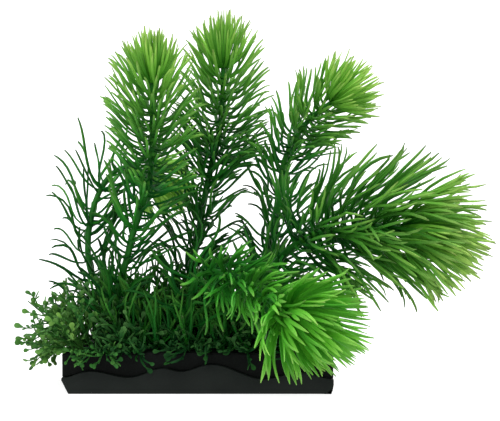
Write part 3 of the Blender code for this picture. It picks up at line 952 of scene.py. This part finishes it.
def buildStrands():
    rng = random.Random(strands["seed"])
    whole = newPart()
    for _ in range(strands["count"]):
        foot = footIn(rng, strands, growthLook["foot"])
        slopes = [rng.uniform(*limits) for limits in strands["slopes"]]
        length = rng.uniform(*strands["length"]) * mm
        azimuth = rng.uniform(0, 2 * math.pi)
        sway = either(rng, strands["sway"])
        place = Matrix.Translation(foot)
        line = leafLine(place, (0, 0), azimuth, length, slopes, sway, waves=strands["waves"])
        forked = rng.random() < strands["forked"]
        age = rng.uniform(*strands["age"])
        if forked:
            addLeaf(whole, line, length, strandShape, age, rng)
        else:
            addThread(whole, line, strandShape, age, rng)
    finishPiece("low_growth_strands", whole, leafMaterials["lower"])


for index, (name, values) in enumerate(sprigs.items()):
    buildSprig(name, *values, seed=firstSprigSeed + index)
for name, grown in lowGrowth.items():
    buildLowGrowth(name, dict(plainGrowth, **grown))
for name, grown in hanging.items():
    buildHanging(name, grown)
buildStrands()
print("sprigs and low growth")


# Base

# half, deep, wall, floor and corner in mm; rim: the wavy edge's highs and lows, as x and height
trayLook = {
    "half": 67.8, "deep": 31, "wall": 2, "floor": 2, "steps": 8, "edge": 0.4, "sharp": 35, "rimAbove": 6,
    "chamfer": (3.4, 6.8), "taper": (0.8, 4.6), "corner": 2.4,
    "rim": ((-67.8, 8.0), (-53.5, 11.3), (-34.0, 8.2), (-17.0, 12.7), (-8.0, 11.2), (6.7, 14.7),
            (33.0, 7.5), (51.0, 10.7), (67.8, 7.3)),
}
castLooks = {
    "tray plastic": {
        "low": (0.0036, 0.006, 0.0048), "high": (0.006, 0.0088, 0.0072), "roughness": (0.36, 0.5),
        "grain": 900, "depth": 0.0002, "specular": 0.14,
    },
    # Set much darker than the tray: partly the block's own near-black, partly painted shade where it lies
    # recessed under the foliage
    "block cast resin": {
        "low": (0.0018, 0.0026, 0.0022), "high": (0.0036, 0.0046, 0.004), "roughness": (0.45, 0.7),
        "grain": 500, "depth": 0.0005, "specular": 0.06,
    },
}


def cast(name):
    look = castLooks[name]
    made, tree, shader = newMaterial(name, 0.4, look["specular"])
    colour = ramp(tree, noise(tree, 60, 4, 0.6), [(0.35, look["low"]), (0.65, look["high"])])
    tree.links.new(colour, shader.inputs["Base Color"])
    tree.links.new(span(tree, noise(tree, 200, 3), *look["roughness"]), shader.inputs["Roughness"])
    bump(tree, shader, noise(tree, look["grain"], 4, 0.6), 0.5, look["depth"])
    return made


trayMaterial = cast("tray plastic")
blockMaterial = cast("block cast resin")


def rimWave():
    points = []
    for (x0, z0), (x1, z1) in zip(trayLook["rim"], trayLook["rim"][1:]):
        for step in range(trayLook["steps"]):
            share = step / trayLook["steps"]
            points.append((x0 + (x1 - x0) * share, z0 + (z1 - z0) * (1 - math.cos(math.pi * share)) / 2))
    return points + [trayLook["rim"][-1]]


def cutCorner(bm, through, facing):
    geom = bm.verts[:] + bm.edges[:] + bm.faces[:]
    bmesh.ops.bisect_plane(bm, geom=geom, plane_co=through, plane_no=facing, clear_outer=True)
    bmesh.ops.holes_fill(bm, edges=[edge for edge in bm.edges if edge.is_boundary], sides=0)


def softenEdges(bm, edges, width, segments):
    bmesh.ops.bevel(bm, geom=edges, affect="EDGES", offset=width, segments=segments, profile=0.5, material=-1)


# A slab under the rim's wave with its ends cut and its right foot rounded, then hollowed from above
def buildTray():
    wave = rimWave()
    columns = len(wave) - 1
    half, deep = trayLook["half"] * mm, trayLook["deep"] * mm
    bm = bmesh.new()
    made = bmesh.ops.create_grid(bm, x_segments=columns, y_segments=1, size=0.5)["verts"]
    for vert in made:
        x, z = wave[round((vert.co.x + 0.5) * columns)]
        vert.co = (x * mm, -deep, z * mm if vert.co.y > 0 else 0)
    raised = bmesh.ops.extrude_face_region(bm, geom=bm.faces[:] + bm.edges[:])["geom"]
    bmesh.ops.translate(bm, vec=(0, 2 * deep, 0), verts=newVerts(raised))
    bmesh.ops.recalc_face_normals(bm, faces=bm.faces)
    chamferX, chamferZ = (value * mm for value in trayLook["chamfer"])
    cutCorner(bm, (-half, 0, chamferZ), (-chamferZ, 0, -chamferX))
    taperX, taperZ = (value * mm for value in trayLook["taper"])
    cutCorner(bm, (half, 0, taperZ), (taperZ, 0, -taperX))
    corner = [edge for edge in bm.edges
              if all(vert.co.x > half * 0.95 and vert.co.z < 0.1 * mm for vert in edge.verts)
              and abs(edge.verts[0].co.y - edge.verts[1].co.y) > deep]
    softenEdges(bm, corner, trayLook["corner"] * mm, 5)
    top = [face for face in bm.faces
           if face.normal.z > 0.5 and face.calc_center_median().z > trayLook["rimAbove"] * mm]
    wall = trayLook["wall"] * mm
    bmesh.ops.inset_region(bm, faces=top, thickness=wall, use_even_offset=True, use_boundary=True)
    topEdges = list({edge for face in top for edge in face.edges})
    sunk = bmesh.ops.extrude_face_region(bm, geom=top + topEdges)["geom"]
    for vert in newVerts(sunk):
        vert.co.z = trayLook["floor"] * mm
    outer = [edge for edge in bm.edges
             if len(edge.link_faces) == 2 and edge.calc_face_angle() > math.radians(trayLook["sharp"])
             and all(abs(vert.co.y) > deep * 0.99 or abs(vert.co.x) > half * 0.94 for vert in edge.verts)]
    softenEdges(bm, outer, trayLook["edge"] * mm, 2)
    finishPiece("base_tray_moulded", bm, trayMaterial, ("base_tray",), 30)


buildTray()
nodes["base_block"].data.materials.clear()
nodes["base_block"].data.materials.append(blockMaterial)
print("base")


# Stage, light and camera

stageLook = {
    "front": -1.6, "back": 1.3, "high": 1.6, "half": 2.2, "round": 0.7,
    "paper": ((0.4, 0.4, 0.4), (0.42, 0.42, 0.42)), "glow": 0.8, "world": 0.5,
}
lights = {
    "key": {"place": (-0.5, -1.0, 1.3), "size": 1.2, "power": 14},
    "fill": {"place": (0.9, -1.0, 0.9), "size": 1.2, "power": 9},
    "top": {"place": (0.0, 0.1, 1.5), "size": 1.6, "power": 10},
    "back wash": {"place": (0.0, 0.4, 1.2), "size": 1.4, "power": 14, "aim": (0.0, 1.2, 0.3)},
}
cameraLook = {"target": (0.0261, 0, 0.0898), "distance": 0.6, "elevation": 3, "lens": 83.08, "sensor": 36}


def buildFloor():
    bm = bmesh.new()
    made = bmesh.ops.create_grid(bm, x_segments=1, y_segments=1, size=1)["verts"]
    bmesh.ops.scale(bm, vec=(stageLook["half"], 1, 1), verts=made)
    for vert in made:
        vert.co.y = stageLook["front"] if vert.co.y < 0 else stageLook["back"]
    rear = [edge for edge in bm.edges if all(vert.co.y > 0 for vert in edge.verts)]
    raised = bmesh.ops.extrude_edge_only(bm, edges=rear)["geom"]
    bmesh.ops.translate(bm, vec=(0, 0, stageLook["high"]), verts=newVerts(raised))
    fold = [edge for edge in bm.edges if all(vert.co.y > 0 and vert.co.z < 0.01 for vert in edge.verts)]
    softenEdges(bm, fold, stageLook["round"], 12)
    paperMaterial, tree, shader = newMaterial("white paper", 0.8, 0.1)
    low, high = stageLook["paper"]
    paper = ramp(tree, noise(tree, 4, 2), [(0.3, low), (0.7, high)])
    tree.links.new(paper, shader.inputs["Base Color"])
    shader.inputs["Emission Color"].default_value = (1, 1, 1, 1)
    shader.inputs["Emission Strength"].default_value = stageLook["glow"]
    floor = makeObject("floor", bm, paperMaterial)


def addLight(name, place, size, power, aim=(0.02, 0, 0.08)):
    light = bpy.data.lights.new(name, "AREA")
    light.shape = "DISK"
    light.size = size
    light.energy = power
    lamp = intoScene(bpy.data.objects.new(name, light))
    lamp.location = place
    lamp.rotation_euler = (Vector(aim) - Vector(place)).to_track_quat("-Z", "Y").to_euler()


buildFloor()
for name, look in lights.items():
    addLight(name, **look)
world = bpy.data.worlds.new("studio")
bpy.context.scene.world = world
world.use_nodes = True
world.node_tree.nodes["Background"].inputs["Color"].default_value = (1, 1, 1, 1)
world.node_tree.nodes["Background"].inputs["Strength"].default_value = stageLook["world"]
bpy.context.scene.view_settings.view_transform = "Standard"
print("stage and lights")

lens = bpy.data.cameras.new("camera")
lens.sensor_fit = "HORIZONTAL"
lens.sensor_width = cameraLook["sensor"]
lens.lens = cameraLook["lens"]
camera = intoScene(bpy.data.objects.new("camera", lens))
target = Vector(cameraLook["target"])
rise = math.radians(cameraLook["elevation"])
camera.location = target + cameraLook["distance"] * Vector((0, -math.cos(rise), math.sin(rise)))
camera.rotation_euler = (target - camera.location).to_track_quat("-Z", "Y").to_euler()
bpy.context.scene.camera = camera
print("camera set")
